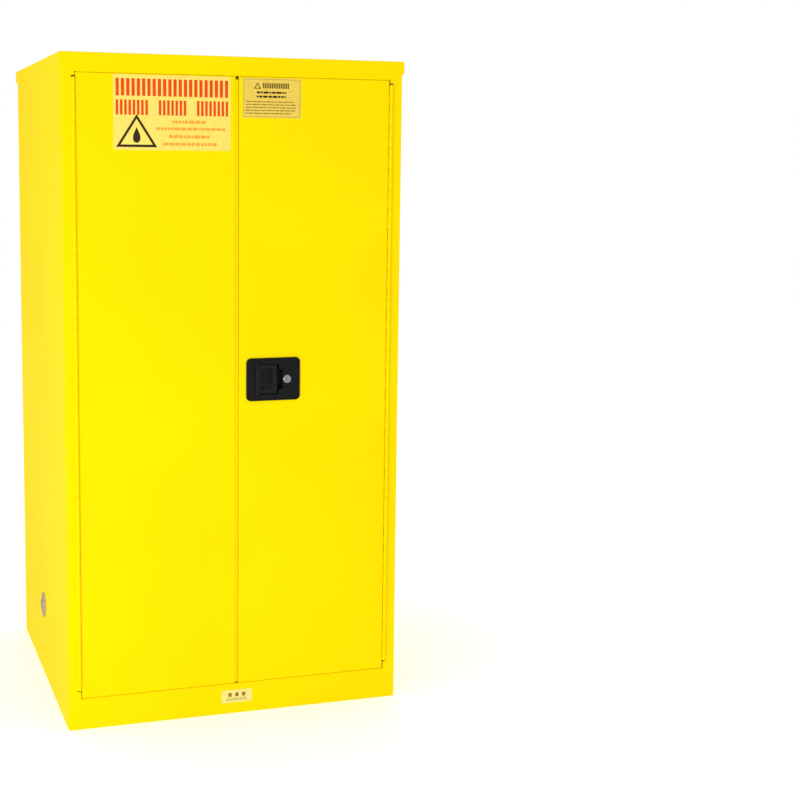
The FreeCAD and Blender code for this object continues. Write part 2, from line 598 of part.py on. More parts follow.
# ---- latch: moving pieces -----------------------------------------------------------------------
def paddle():
    """Pull paddle: a plate with a raised rim, its barrel, and the arm that works the slide."""
    front = PADDLE_AXIS_D - PADDLE_BARREL_R
    z = (PAN_Z - PADDLE_HALF_Z, PAN_Z + PADDLE_HALF_Z)
    plate = box((PADDLE_AXIS_X, PADDLE_END_X), deep(front, front + PADDLE_THICK), z)
    corners = [e for e in plate.Edges if e.BoundBox.XMin > PADDLE_END_X - 1e-6]
    plate = plate.makeFillet(1.8, corners)
    dish = plate_xz((PADDLE_AXIS_X + PADDLE_RIM, PADDLE_END_X - 1.5 * PADDLE_RIM),
                    (z[0] + PADDLE_RIM, z[1] - PADDLE_RIM), deep(front - 1, front + PADDLE_DISH), 5.0)
    barrel = rod_along(AXIS_Z, V(PADDLE_AXIS_X, FRONT + PADDLE_AXIS_D, z[0]), PADDLE_BARREL_R, z[1] - z[0])
    arm = box((PADDLE_AXIS_X - ARM_HALF, PADDLE_AXIS_X + ARM_HALF), deep(PADDLE_AXIS_D, ARM_TIP_D), ARM_Z)
    pin = rod_along(AXIS_Z, V(PADDLE_AXIS_X, FRONT + PADDLE_AXIS_D, z[0] - 1), PADDLE_PIN_R + RUNNING,
                    z[1] - z[0] + 2)
    return join(plate.cut(dish), barrel, arm).cut(pin)


def crank_pin(angle, near, far):
    """A pin on the hub, at an angle counted from +X towards +Z."""
    x = PAN_X + CRANK_R * math.cos(angle)
    z = PAN_Z + CRANK_R * math.sin(angle)
    return rod_along(AXIS_Y, V(x, FRONT + near, z), CRANK_PIN_R, far - near)


def latch_hub():
    """Disc that turns on its stud and moves both rods and the slide."""
    disc = rod_along(AXIS_Y, V(PAN_X, FRONT + HUB_D[0], PAN_Z), HUB_R, HUB_D[1] - HUB_D[0])
    upper = crank_pin(math.pi - CRANK_SWING, HUB_D[0] + 1, TAB_D[1] + 0.6)
    lower = crank_pin(-CRANK_SWING, HUB_D[0] + 1, TAB_D[1] + 0.6)
    slide = crank_pin(-math.pi / 2 - CRANK_SWING, SLIDE_D[0], HUB_D[0] + 1)
    bore = rod_along(AXIS_Y, V(PAN_X, FRONT + HUB_D[0] - 1, PAN_Z), STUD_HUB_R + RUNNING, 6)
    return join(disc, upper, lower, slide).cut(bore)


def lock_rod(x, up):
    """Vertical locking rod with a slotted tab at the hub and a bullet nose at the far end."""
    pin_z = PAN_Z + up * CRANK_R * math.sin(CRANK_SWING)
    tip_z = DOOR_TOP - ROD_TIP_CLEAR if up > 0 else DOOR_BOTTOM + ROD_TIP_CLEAR
    start_z = pin_z + up * 12
    nose_z = tip_z - up * ROD_R
    y = FRONT + ROD_D
    shank = rod_along(V(0, 0, up), V(x, y, start_z), ROD_R, abs(nose_z - start_z))
    nose = Part.makeSphere(ROD_R, V(x, y, nose_z))
    tab = box((x - 7, x + 7), deep(*TAB_D), (pin_z - up * 4.5, pin_z + up * 24))
    slot_half = (CRANK_R - CRANK_X_REST) / 2 + CRANK_PIN_R + 0.3
    slot = box((x - slot_half, x + slot_half), deep(TAB_D[0] - 1, TAB_D[1] + 1),
               (pin_z - CRANK_PIN_R - 0.3, pin_z + CRANK_PIN_R + 0.3))
    return join(shank, nose, tab).cut(slot)


def centre_bolt():
    """Slide bar with the window for the paddle's arm, the hub slot and the joggled bolt nose."""
    pin_x = PAN_X - CRANK_R * math.sin(CRANK_SWING)
    bar = box((24, pin_x + 8), deep(*SLIDE_D), SLIDE_Z)
    block = box((24, 36), deep(SLIDE_D[0], 31), (SLIDE_Z[0] + 1, SLIDE_Z[1] - 1))
    nose = box((DOOR_EDGE + 1, 36), deep(25, 31), (SLIDE_Z[0] + 1, SLIDE_Z[1] - 1))
    tip = [e for e in nose.Edges if e.BoundBox.XMax < DOOR_EDGE + 1 + 1e-6]
    nose = nose.makeFillet(1.5, tip)
    window = box((PADDLE_AXIS_X - 4.2, PADDLE_AXIS_X + 6.0), deep(SLIDE_D[0] - 1, SLIDE_D[1] + 1),
                 (ARM_Z[0] - 3, ARM_Z[1] + 1))
    pin_z = PAN_Z - CRANK_R
    slot = box((pin_x - CRANK_PIN_R - 0.3, pin_x + CRANK_PIN_R + 0.3), deep(SLIDE_D[0] - 1, SLIDE_D[1] + 1),
               (pin_z - CRANK_PIN_R - 0.4, pin_z + CRANK_PIN_R + 1.4))
    return join(bar, block, nose).cut(window).cut(slot)


def lock_plug():
    """Turning plug with a key slot in its face."""
    front = FRONT - PAN_PROUD - LOCK_PROUD + 0.6
    plug = rod_along(AXIS_Y, V(LOCK_X, front, PAN_Z), LOCK_PLUG_R, FRONT + CAM_D[0] - front)
    key = box((LOCK_X - 0.7, LOCK_X + 0.7), (front - 1, front + 9), (PAN_Z - 4, PAN_Z + 4))
    return plug.cut(key)


def lock_cam():
    """Tongue on the plug's back that blocks the hub when it is turned across."""
    arm = box((LOCK_X - 5, LOCK_X + 5), deep(*CAM_D), (PAN_Z - 6, PAN_Z + 20))
    corners = [e for e in arm.Edges if abs(e.tangentAt(e.FirstParameter).y) > 0.99]
    return arm.makeFillet(3.0, corners)


# ---- the whole cabinet --------------------------------------------------------------------------
def main():
    os.makedirs("parts", exist_ok=True)
    save("roof_cap", roof_cap())
    save("left_outer_side", outer_side(LEFT_VENT_Z))
    save("right_outer_side", mirror_x(outer_side(RIGHT_VENT_Z)))
    save("outer_back", outer_back())
    save("outer_floor", outer_floor())
    save("left_stile", left_stile())
    save("right_stile", mirror_x(left_stile()))
    save("header", header())
    save("base_front", base_front())
    save("door_stops", door_stops())
    save("top_strike", strike(UPPER_ROD_X, OPENING_TOP - STRIKE_THICK))
    save("bottom_strike", strike(LOWER_ROD_X, SILL_TOP))
    save("left_liner", left_liner(LEFT_VENT_Z))
    save("right_liner", mirror_x(left_liner(RIGHT_VENT_Z)))
    save("back_liner", back_liner())
    save("top_liner", top_liner())
    save("sump_pan", sump_pan())
    for name, height in SHELF_HEIGHTS.items():
        save(name, shelf(height))
    save("shelf_standards", shelf_standards())
    save("shelf_clips", shelf_clips())
    save("left_vent_tube", left_vent_tube(LEFT_VENT_Z))
    save("right_vent_tube", mirror_x(left_vent_tube(RIGHT_VENT_Z)))
    save("left_vent_cap", left_vent_cap(LEFT_VENT_Z))
    save("right_vent_cap", mirror_x(left_vent_cap(RIGHT_VENT_Z)))
    save("flame_arresters", Part.makeCompound([arrester(-1, LEFT_VENT_Z), arrester(1, RIGHT_VENT_Z)]))
    save("ground_stud", ground_stud())
    for side in ("left", "right"):
        place = mirror_x if side == "right" else (lambda shape: shape)
        save(side + "_hinge_frame_leaf", place(hinge_leaf(False)))
        save(side + "_hinge_door_leaf", place(hinge_leaf(True)))
        save(side + "_hinge_pin", place(hinge_pin()))
    save("left_door_skin", door_skin())
    save("left_door_liner", door_liner())
    save("astragal", astragal())
    save("centre_keeper", centre_keeper())
    save("right_door_skin", right_door_skin())
    save("right_door_liner", right_door_liner())
    save("handle_pan", handle_pan())
    save("paddle_pin", paddle_pin())
    save("latch_bracket", latch_bracket())
    save("hub_stud", hub_stud())
    save("rod_guides", rod_guides())
    save("pan_screws", pan_screws())
    save("lock_cylinder", lock_cylinder())
    save("return_spring", return_spring())
    save("paddle", paddle())
    save("latch_hub", latch_hub())
    save("upper_rod", lock_rod(UPPER_ROD_X, 1))
    save("lower_rod", lock_rod(LOWER_ROD_X, -1))
    save("centre_bolt", centre_bolt())
    save("lock_plug", lock_plug())
    save("lock_cam", lock_cam())


main()
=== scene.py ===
"""Looks of the flammable storage cabinet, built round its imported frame.

Lengths are metres. X points right, Y to the back and Z up.
"""

import json
import math
import random

import bpy
import bmesh
from mathutils import Matrix, Vector


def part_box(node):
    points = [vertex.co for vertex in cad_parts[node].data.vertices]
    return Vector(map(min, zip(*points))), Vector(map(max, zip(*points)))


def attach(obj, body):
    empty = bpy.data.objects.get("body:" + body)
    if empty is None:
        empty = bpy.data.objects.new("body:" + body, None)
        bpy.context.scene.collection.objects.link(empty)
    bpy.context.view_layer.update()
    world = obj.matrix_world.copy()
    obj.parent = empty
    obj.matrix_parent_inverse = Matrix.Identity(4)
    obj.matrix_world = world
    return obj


MM = 0.001

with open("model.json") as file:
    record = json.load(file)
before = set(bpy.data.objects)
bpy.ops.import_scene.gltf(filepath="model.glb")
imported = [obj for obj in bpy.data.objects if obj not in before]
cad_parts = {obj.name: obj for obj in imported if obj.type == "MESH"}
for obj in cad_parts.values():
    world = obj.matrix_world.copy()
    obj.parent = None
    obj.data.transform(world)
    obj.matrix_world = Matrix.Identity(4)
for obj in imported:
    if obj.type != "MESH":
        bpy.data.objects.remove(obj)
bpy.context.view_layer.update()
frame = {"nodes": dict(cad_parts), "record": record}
NODES = frame["nodes"]
SLOT_OF = {part["node"]: part["material_slot"] for part in frame["record"]["subparts"]}


# ---- places taken from the frame -----------------------------------------------------------------
def corners(node):
    """The lower and the upper corner of a node's box."""
    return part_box(node)


LEFT_DOOR = corners("left_door_skin")
RIGHT_DOOR = corners("right_door_skin")
BASE = corners("base_front")
LATCH = corners("handle_pan")
DOOR_FACE = LEFT_DOOR[0].y
BASE_FACE = BASE[0].y
SILL_TOP = BASE[1].z
SIDE_X = corners("left_stile")[0].x
BACK_Y = corners("outer_back")[1].y


# ---- node helpers --------------------------------------------------------------------------------
def link(tree, source, output, target, socket):
    """Joins a node's output to another node's input."""
    tree.links.new(source.outputs[output], target.inputs[socket])


def principled(name, colour, roughness, metallic=0.0, specular=0.5):
    """A new material with its Principled shader's plain values set."""
    material = bpy.data.materials.new(name)
    material.use_nodes = True
    tree = material.node_tree
    shader = tree.nodes["Principled BSDF"]
    shader.inputs["Base Color"].default_value = (*colour, 1.0)
    shader.inputs["Roughness"].default_value = roughness
    shader.inputs["Metallic"].default_value = metallic
    shader.inputs["Specular IOR Level"].default_value = specular
    return material, tree, shader


def object_coordinates(tree, scale=(1.0, 1.0, 1.0)):
    """Coordinates in metres that stay on the piece, stretched by scale."""
    source = tree.nodes.new("ShaderNodeTexCoord")
    mapping = tree.nodes.new("ShaderNodeMapping")
    mapping.inputs["Scale"].default_value = scale
    link(tree, source, "Object", mapping, "Vector")
    return mapping


def noise(tree, coordinates, scale, detail):
    """Soft noise with about scale spots to the metre."""
    texture = tree.nodes.new("ShaderNodeTexNoise")
    texture.inputs["Scale"].default_value = scale
    texture.inputs["Detail"].default_value = detail
    link(tree, coordinates, "Vector", texture, "Vector")
    return texture


def ramp(tree, source, output, stops):
    """A colour ramp over a texture's output, from (position, grey or colour) stops."""
    node = tree.nodes.new("ShaderNodeValToRGB")
    elements = node.color_ramp.elements
    while len(elements) < len(stops):
        elements.new(0.5)
    for element, (position, value) in zip(elements, stops):
        element.position = position
        element.color = (*value, 1.0) if isinstance(value, tuple) else (value, value, value, 1.0)
    link(tree, source, output, node, "Fac")
    return node


def bump(tree, shader, layers):
    """Chains layers of (texture, output, strength, height) into the shader's normal."""
    previous = None
    for texture, output, strength, height in layers:
        node = tree.nodes.new("ShaderNodeBump")
        node.inputs["Strength"].default_value = strength
        node.inputs["Distance"].default_value = height
        link(tree, texture, output, node, "Height")
        if previous:
            link(tree, previous, "Normal", node, "Normal")
        previous = node
    link(tree, previous, "Normal", shader, "Normal")


# ---- materials -----------------------------------------------------------------------------------
def make_yellow_paint():
    """Powder coat: saturated yellow, an orange peel of 2 mm and a faint waviness of the sheet."""
    material, tree, shader = principled("yellow_powder_coat", (0.92, 0.69, 0.0), 0.44, specular=0.025)
    place = object_coordinates(tree)
    tone = noise(tree, place, scale=2.6, detail=2.0)
    colours = ramp(tree, tone, "Fac", [(0.30, (0.905, 0.672, 0.0)), (0.70, (0.935, 0.708, 0.0))])
    link(tree, colours, "Color", shader, "Base Color")
    haze = noise(tree, place, scale=35.0, detail=4.0)
    gloss = ramp(tree, haze, "Fac", [(0.3, 0.38), (0.7, 0.48)])
    link(tree, gloss, "Color", shader, "Roughness")
    peel = noise(tree, place, scale=420.0, detail=2.0)
    wave = noise(tree, place, scale=4.0, detail=1.0)
    bump(tree, shader, [(peel, "Fac", 0.22, 0.12 * MM), (wave, "Fac", 0.25, 4 * MM)])
    return material


def make_galvanised():
    """Hot-dip zinc: spangle cells of 12 mm that differ in tone and gloss, a little dulled by oxide."""
    material, tree, shader = principled("galvanised_sheet", (0.56, 0.58, 0.60), 0.48, metallic=0.6)
    place = object_coordinates(tree)
    cloud = noise(tree, place, scale=45.0, detail=2.0)
    bent = tree.nodes.new("ShaderNodeVectorMath")
    bent.operation = "MULTIPLY_ADD"
    bent.inputs[1].default_value = (12 * MM, 12 * MM, 12 * MM)
    link(tree, cloud, "Color", bent, 0)
    link(tree, place, "Vector", bent, 2)
    cells = tree.nodes.new("ShaderNodeTexVoronoi")
    cells.inputs["Scale"].default_value = 85.0
    link(tree, bent, "Vector", cells, "Vector")
    tones = ramp(tree, cells, "Color", [(0.1, (0.46, 0.48, 0.50)), (0.9, (0.64, 0.66, 0.68))])
    link(tree, tones, "Color", shader, "Base Color")
    gloss = ramp(tree, cells, "Color", [(0.1, 0.40), (0.9, 0.58)])
    link(tree, gloss, "Color", shader, "Roughness")
    bump(tree, shader, [(cloud, "Fac", 0.10, 0.5 * MM)])
    return material


def make_zinc():
    """Dull electroplated zinc with a warm passivation."""
    material, tree, shader = principled("zinc_plating", (0.62, 0.56, 0.40), 0.42, metallic=0.6)
    place = object_coordinates(tree)
    cloud = noise(tree, place, scale=90.0, detail=4.0)
    tones = ramp(tree, cloud, "Fac", [(0.3, (0.54, 0.48, 0.33)), (0.7, (0.70, 0.63, 0.46))])
    link(tree, tones, "Color", shader, "Base Color")
    grain = noise(tree, place, scale=900.0, detail=2.0)
    bump(tree, shader, [(grain, "Fac", 0.18, 0.1 * MM)])
    return material


def make_stainless():
    """Drawn stainless steel, with hairlines along Z."""
    material, tree, shader = principled("drawn_stainless", (0.68, 0.68, 0.67), 0.30, metallic=1.0)
    place = object_coordinates(tree, (900.0, 900.0, 25.0))
    lines = noise(tree, place, scale=1.0, detail=3.0)
    gloss = ramp(tree, lines, "Fac", [(0.3, 0.22), (0.7, 0.40)])
    link(tree, gloss, "Color", shader, "Roughness")
    bump(tree, shader, [(lines, "Fac", 0.10, 0.05 * MM)])
    return material


def make_black(name, tone, roughness, grain_strength):
    """Black moulding with a fine spark-eroded grain."""
    material, tree, shader = principled(name, (tone, tone, tone), roughness, specular=0.20)
    place = object_coordinates(tree)
    grain = noise(tree, place, scale=1500.0, detail=2.0)
    cloud = noise(tree, place, scale=60.0, detail=3.0)
    tones = ramp(tree, cloud, "Fac", [(0.3, tone * 0.8), (0.7, tone * 1.35)])
    link(tree, tones, "Color", shader, "Base Color")
    gloss = ramp(tree, cloud, "Fac", [(0.3, roughness - 0.05), (0.7, roughness + 0.06)])
    link(tree, gloss, "Color", shader, "Roughness")
    bump(tree, shader, [(grain, "Fac", grain_strength, 0.1 * MM)])
    return material


def make_chrome():
    """Bright chrome with faint wipe marks."""
    material, tree, shader = principled("bright_chrome", (0.80, 0.80, 0.82), 0.15, metallic=1.0)
    place = object_coordinates(tree)
    wipe = noise(tree, place, scale=300.0, detail=3.0)
    gloss = ramp(tree, wipe, "Fac", [(0.35, 0.10), (0.7, 0.22)])
    link(tree, gloss, "Color", shader, "Roughness")
    return material


def make_print(name, colour, roughness=0.5):
    """Screen-printed vinyl: an even colour with a trace of mottle."""
    material, tree, shader = principled(name, colour, roughness, specular=0.2)
    place = object_coordinates(tree)
    mottle = noise(tree, place, scale=130.0, detail=4.0)
    darker = tuple(0.93 * c for c in colour)
    lighter = tuple(min(1.0, 1.05 * c) for c in colour)
    tones = ramp(tree, mottle, "Fac", [(0.3, darker), (0.7, lighter)])
    link(tree, tones, "Color", shader, "Base Color")
    return material


MATERIALS = {
    "yellow_paint": make_yellow_paint(),
    "galvanised_steel": make_galvanised(),
    "zinc_plate": make_zinc(),
    "stainless_steel": make_stainless(),
    "black_moulding": make_black("black_moulding", 0.008, 0.42, 0.30),
    "black_paddle": make_black("black_paddle", 0.012, 0.36, 0.18),
    "chrome": make_chrome(),
}
LABEL_PALE = make_print("label_pale_yellow", (0.90, 0.70, 0.13))
LABEL_GOLD = make_print("label_gold", (0.80, 0.57, 0.08))
LABEL_TIN = make_print("label_tin", (0.82, 0.72, 0.22), 0.4)
PRINT_RED = make_print("print_red", (0.78, 0.06, 0.006))
PRINT_ORANGE = make_print("print_orange", (0.88, 0.36, 0.04))
PRINT_BROWN = make_print("print_dark_brown", (0.045, 0.022, 0.006))
PRINT_FAINT = make_print("print_faint_brown", (0.26, 0.18, 0.035))

for name, node in NODES.items():
    node.data.materials.clear()
    node.data.materials.append(MATERIALS[SLOT_OF[name]])


# ---- camera, light and floor ---------------------------------------------------------------------
CAMERA_PLACE = Vector((-0.940, -3.9565, 1.388))
CAMERA_TURN = (18.135, -6.837, 0.465)  # yaw, pitch and roll in degrees
CAMERA_LENS = 66.62  # mm, before a 36 mm sensor
CAMERA_SHIFT = (0.10, -0.07)


def add_camera():
    """Front left of the cabinet, above its middle and looking a little down."""
    camera_data = bpy.data.cameras.new("camera")
    camera_data.sensor_width = 36.0
    camera_data.lens = CAMERA_LENS
    camera_data.shift_x, camera_data.shift_y = CAMERA_SHIFT
    camera = bpy.data.objects.new("camera", camera_data)
    bpy.context.scene.collection.objects.link(camera)
    yaw, pitch, roll = (math.radians(angle) for angle in CAMERA_TURN)
    forward = Vector((math.sin(yaw) * math.cos(pitch), math.cos(yaw) * math.cos(pitch), math.sin(pitch)))
    right = Vector((math.cos(yaw), -math.sin(yaw), 0.0))
    up = right.cross(forward)
    turned_right = right * math.cos(roll) + up * math.sin(roll)
    turned_up = up * math.cos(roll) - right * math.sin(roll)
    axes = Matrix((turned_right, turned_up, -forward)).transposed()
    camera.matrix_world = Matrix.Translation(CAMERA_PLACE) @ axes.to_4x4()
    bpy.context.scene.camera = camera


# name: place, point it looks at, edge of its square, power in watts
LIGHTS = {
    "key": ((-1.9, -2.3, 0.5), (-0.1, -0.4, 0.8), 1.6, 34.0),
    "side": ((-4.2, 0.6, 1.6), (-0.4, 0.0, 0.9), 2.4, 20.0),
    "back": ((1.6, 4.2, 1.8), (0.0, 0.4, 0.9), 2.4, 22.0),
    "top": ((0.0, 0.1, 3.6), (0.0, 0.0, 1.6), 1.4, 13.0),
}
BACKDROP = (1.0, 1.0, 1.0)
SOFT_LIGHT = (0.785, 0.785, 0.785)
GLOSS_WALLS = (0.24, 0.24, 0.25)
GLOSS_FLOOR = (0.36, 0.36, 0.36)


def add_area_light(name, place, target, edge, power):
    """A square lamp that looks at a point."""
    data = bpy.data.lights.new(name, "AREA")
    data.size = edge
    data.energy = power
    light = bpy.data.objects.new(name, data)
    light.location = place
    light.rotation_euler = (Vector(target) - Vector(place)).to_track_quat("-Z", "Y").to_euler()
    bpy.context.scene.collection.objects.link(light)


def background(tree, colour):
    """Even light of one colour from the world."""
    node = tree.nodes.new("ShaderNodeBackground")
    node.inputs["Color"].default_value = (*colour, 1.0)
    return node


def choose(tree, ray, kind, usual, special):
    """Shows the special shader to one kind of ray and the usual one to the others."""
    mix = tree.nodes.new("ShaderNodeMixShader")
    link(tree, ray, kind, mix, 0)
    link(tree, usual, 0, mix, 1)
    link(tree, special, 0, mix, 2)
    return mix


def add_studio():
    """A white backdrop, soft light from all round, grey walls for gloss, and four weak lights."""
    world = bpy.data.worlds.new("studio")
    world.use_nodes = True
    tree = world.node_tree
    ray = tree.nodes.new("ShaderNodeLightPath")
    lit = choose(tree, ray, "Is Glossy Ray", background(tree, SOFT_LIGHT), background(tree, GLOSS_WALLS))
    seen = choose(tree, ray, "Is Camera Ray", lit, background(tree, BACKDROP))
    link(tree, seen, "Shader", tree.nodes["World Output"], "Surface")
    tree.nodes.remove(tree.nodes["Background"])
    bpy.context.scene.world = world
    for name, settings in LIGHTS.items():
        add_area_light(name, *settings)
    view = bpy.context.scene.view_settings
    view.view_transform = "Standard"
    view.exposure = 0.0


def add_floor():
    """A wide pale floor, which gloss sees as grey."""
    mesh = bpy.data.meshes.new("floor")
    half = 9.0
    square = [(-half, -half, 0), (half, -half, 0), (half, half, 0), (-half, half, 0)]
    mesh.from_pydata(square, [], [(0, 1, 2, 3)])
    floor = bpy.data.objects.new("floor", mesh)
    bpy.context.scene.collection.objects.link(floor)
    material, tree, shader = principled("pale_floor", (0.975, 0.975, 0.97), 0.7, specular=0.1)
    shader.inputs["Emission Color"].default_value = (0.97, 0.98, 1.0, 1.0)
    shader.inputs["Emission Strength"].default_value = 0.29
    place = object_coordinates(tree)
    cloud = noise(tree, place, scale=1.2, detail=3.0)
    tones = ramp(tree, cloud, "Fac", [(0.3, 0.968), (0.7, 0.980)])
    link(tree, tones, "Color", shader, "Base Color")
    grey = tree.nodes.new("ShaderNodeEmission")
    grey.inputs["Color"].default_value = (*GLOSS_FLOOR, 1.0)
    ray = tree.nodes.new("ShaderNodeLightPath")
    seen = choose(tree, ray, "Is Glossy Ray", shader, grey)
    link(tree, seen, "Shader", tree.nodes["Material Output"], "Surface")
    mesh.materials.append(material)


add_camera()
add_studio()
add_floor()


# ---- mesh helpers --------------------------------------------------------------------------------
def add_piece(name, build, material, body):
    """Makes a piece from a function that fills a bmesh, and lets it ride on a body."""
    mesh = bpy.data.meshes.new(name)
    shape = bmesh.new()
    build(shape)
    bmesh.ops.recalc_face_normals(shape, faces=shape.faces)
    shape.to_mesh(mesh)
    shape.free()
    mesh.materials.append(material)
    piece = bpy.data.objects.new(name, mesh)
    bpy.context.scene.collection.objects.link(piece)
    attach(piece, body)
    return piece


def rounded(x0, x1, z0, z1, radius, steps=5):
    """Outline of a rectangle with round corners, anticlockwise, as (x, z) points."""
    points = []
    centres = [(x1 - radius, z1 - radius, 0), (x0 + radius, z1 - radius, 90),
               (x0 + radius, z0 + radius, 180), (x1 - radius, z0 + radius, 270)]
    for cx, cz, start in centres:
        for i in range(steps + 1):
            angle = math.radians(start + 90 * i / steps)
            points.append((cx + radius * math.cos(angle), cz + radius * math.sin(angle)))
    return points


def bridge(shape, first, second):
    """Joins two closed loops of vertices with a band of faces."""
    for i in range(len(first)):
        j = (i + 1) % len(first)
        shape.faces.new((first[i], first[j], second[j], second[i]))


def skin(shape, loops):
    """A closed solid over a row of loops: bands between them and a face at each end."""
    for first, second in zip(loops, loops[1:]):
        bridge(shape, first, second)
    shape.faces.new(list(reversed(loops[0])))
    shape.faces.new(loops[-1])


def upright_loop(shape, outline, y):
    """The vertices of an (x, z) outline, at depth y."""
    return [shape.verts.new((x, y, z)) for x, z in outline]


def extrude(shape, outline, near, far):
    """A slab from an (x, z) outline, from y = near (its front) to y = far (its back)."""
    skin(shape, [upright_loop(shape, outline, far), upright_loop(shape, outline, near)])


def extrude_ring(shape, outer, inner, near, far):
    """A slab with a hole: both outlines have as many points."""
    outer_front, inner_front = (upright_loop(shape, outline, near) for outline in (outer, inner))
    outer_back, inner_back = (upright_loop(shape, outline, far) for outline in (outer, inner))
    bridge(shape, outer_front, inner_front)
    bridge(shape, inner_front, inner_back)
    bridge(shape, inner_back, outer_back)
    bridge(shape, outer_back, outer_front)


# ---- labels (plain blocks stand for every word) --------------------------------------------------
LABEL_THICK = 0.25 * MM
PRINT_THICK = 0.06 * MM
SUNK = 0.05 * MM  # how far a label or a print reaches into what it is stuck on
TOP_MARGIN = 3 * MM  # between a label and its door's top edge
BAR_WIDTHS = (4, 15)  # shortest and longest bar of small print, in mm
BAR_GAP = 1.8 * MM
LEAST_BAR = 2 * MM
RAGGED = 0.12  # the most that a line of small print is cut short, as a share of its length


def add_label(name, face_y, outline, material, body):
    """A label stuck on an upright face."""
    add_piece(name, lambda shape: extrude(shape, outline, face_y - LABEL_THICK, face_y + SUNK),
              material, body)


def add_print(name, face_y, outlines, material, body, rings=()):
    """Ink on a label: blocks, and rings given as (outer, inner) outlines."""
    near = face_y - LABEL_THICK - PRINT_THICK
    far = face_y - LABEL_THICK + SUNK

    def build(shape):
        for outline in outlines:
            extrude(shape, outline, near, far)
        for outer, inner in rings:
            extrude_ring(shape, outer, inner, near, far)

    add_piece(name, build, material, body)


def bar_row(x0, x1, z0, z1, words, fill, word_space=2.2):
    """Upright bars between x0 and x1 in groups: words gives the bars in each group, fill their width."""
    slots = sum(words) + word_space * (len(words) - 1)
    pitch = (x1 - x0) / (slots - (1 - fill))
    radius = min(0.7 * MM, 0.3 * fill * pitch)
    outlines = []
    x = x0
    for count in words:
        for _ in range(count):
            outlines.append(rounded(x, x + fill * pitch, z0, z1, radius, 2))
            x += pitch
        x += word_space * pitch
    return outlines


def text_bars(draws, x0, x1, z0, z1, rows, fill):
    """Rows of thin bars of uneven length, the look of small print with nothing to read."""
    outlines = []
    pitch = (z1 - z0) / rows
    for row in range(rows):
        z = z1 - (row + 0.5) * pitch
        half = 0.5 * fill * pitch
        x = x0
        end = x1 - draws.uniform(0.0, RAGGED) * (x1 - x0)
        while x < end - LEAST_BAR:
            width = min(draws.uniform(*BAR_WIDTHS) * MM, end - x)
            outlines.append(rounded(x, x + width, z - half, z + half, half * 0.4, 1))
            x += width + BAR_GAP
    return outlines


def triangle(cx, base_z, half_width, height):
    """Outline of a triangle that stands on its base."""
    return [(cx - half_width, base_z), (cx + half_width, base_z), (cx, base_z + height)]


def drop(cx, base_z, width, height, steps=16):
    """A plain drop: round below, pointed above."""
    points = []
    for i in range(steps):
        angle = 2 * math.pi * i / steps
        reach = 0.5 * width * math.sin(angle) * math.sin(angle / 2) ** 1.4
        points.append((cx - reach, base_z + 0.5 * height * (1 + math.cos(angle))))
    return points


def add_large_label():
    """Left door: two rows of red bars, four lines of small print, and a drop in a triangle."""
    body = "left_door"
    draws = random.Random(4)
    width, height, edge_margin, inset = 287 * MM, 178 * MM, 14 * MM, 6 * MM
    top = LEFT_DOOR[1].z - TOP_MARGIN
    bottom = top - height
    x1 = LEFT_DOOR[1].x - edge_margin
    x0 = x1 - width
    add_label("large_label", DOOR_FACE, rounded(x0, x1, bottom, top, 3 * MM), LABEL_PALE, body)
    heading = bar_row(x0 + inset, x1 - inset, top - 50 * MM, top - 9 * MM, [22], 0.62)
    heading += bar_row(x0 + inset, x1 - inset, top - 95 * MM, top - 59 * MM, [8, 7, 8], 0.60)
    add_print("large_label_heading", DOOR_FACE, heading, PRINT_RED, body)
    notes = []
    # a line's distance from the label's left and right edges, its lower and upper limit, its fill
    for left, right, low, high, fill in ((142, 60, 62, 74, 0.62), (104, 8, 44, 59, 0.45),
                                         (134, 52, 26, 40, 0.55), (120, 30, 8, 22, 0.5)):
        notes += text_bars(draws, x0 + left * MM, x1 - right * MM,
                           bottom + low * MM, bottom + high * MM, 1, fill)
    add_print("large_label_notes", DOOR_FACE, notes, PRINT_ORANGE, body)
    cx = x0 + 56 * MM
    ring = (triangle(cx, bottom + 7 * MM, 50 * MM, 78 * MM),
            triangle(cx, bottom + 13 * MM, 39 * MM, 61 * MM))
    sign = drop(cx, bottom + 17 * MM, 26 * MM, 38 * MM)
    add_print("large_label_symbol", DOOR_FACE, [sign], PRINT_BROWN, body, [ring])


def add_small_label():
    """Right door: a heading with a small triangle, and five lines of small print in a frame."""
    body = "right_door"
    draws = random.Random(9)
    width, height, edge_margin, inset, line = 150 * MM, 97 * MM, 8 * MM, 3 * MM, 0.8 * MM
    top = RIGHT_DOOR[1].z - TOP_MARGIN
    bottom = top - height
    x0 = RIGHT_DOOR[0].x + edge_margin
    x1 = x0 + width
    add_label("small_label", DOOR_FACE, rounded(x0, x1, bottom, top, 2 * MM), LABEL_GOLD, body)
    heading = bar_row(x0 + 52 * MM, x1 - 32 * MM, top - 25 * MM, top - 12 * MM, [15], 0.6)
    heading += text_bars(draws, x0 + 36 * MM, x1 - 34 * MM, top - 50 * MM, top - 30 * MM, 2, 0.5)
    cx = x0 + 38 * MM
    sign = (triangle(cx, top - 26 * MM, 9 * MM, 15 * MM),
            triangle(cx, top - 24.2 * MM, 5.6 * MM, 9.6 * MM))
    add_print("small_label_heading", DOOR_FACE, heading, PRINT_BROWN, body, [sign])
    notes = text_bars(draws, x0 + 8 * MM, x1 - 10 * MM, bottom + 8 * MM, top - 54 * MM, 5, 0.36)
    outer = rounded(x0 + inset, x1 - inset, bottom + inset, top - inset, 1.5 * MM)
    inset += line
    inner = rounded(x0 + inset, x1 - inset, bottom + inset, top - inset, 1.2 * MM)
    add_print("small_label_notes", DOOR_FACE, notes, PRINT_FAINT, body, [(outer, inner)])


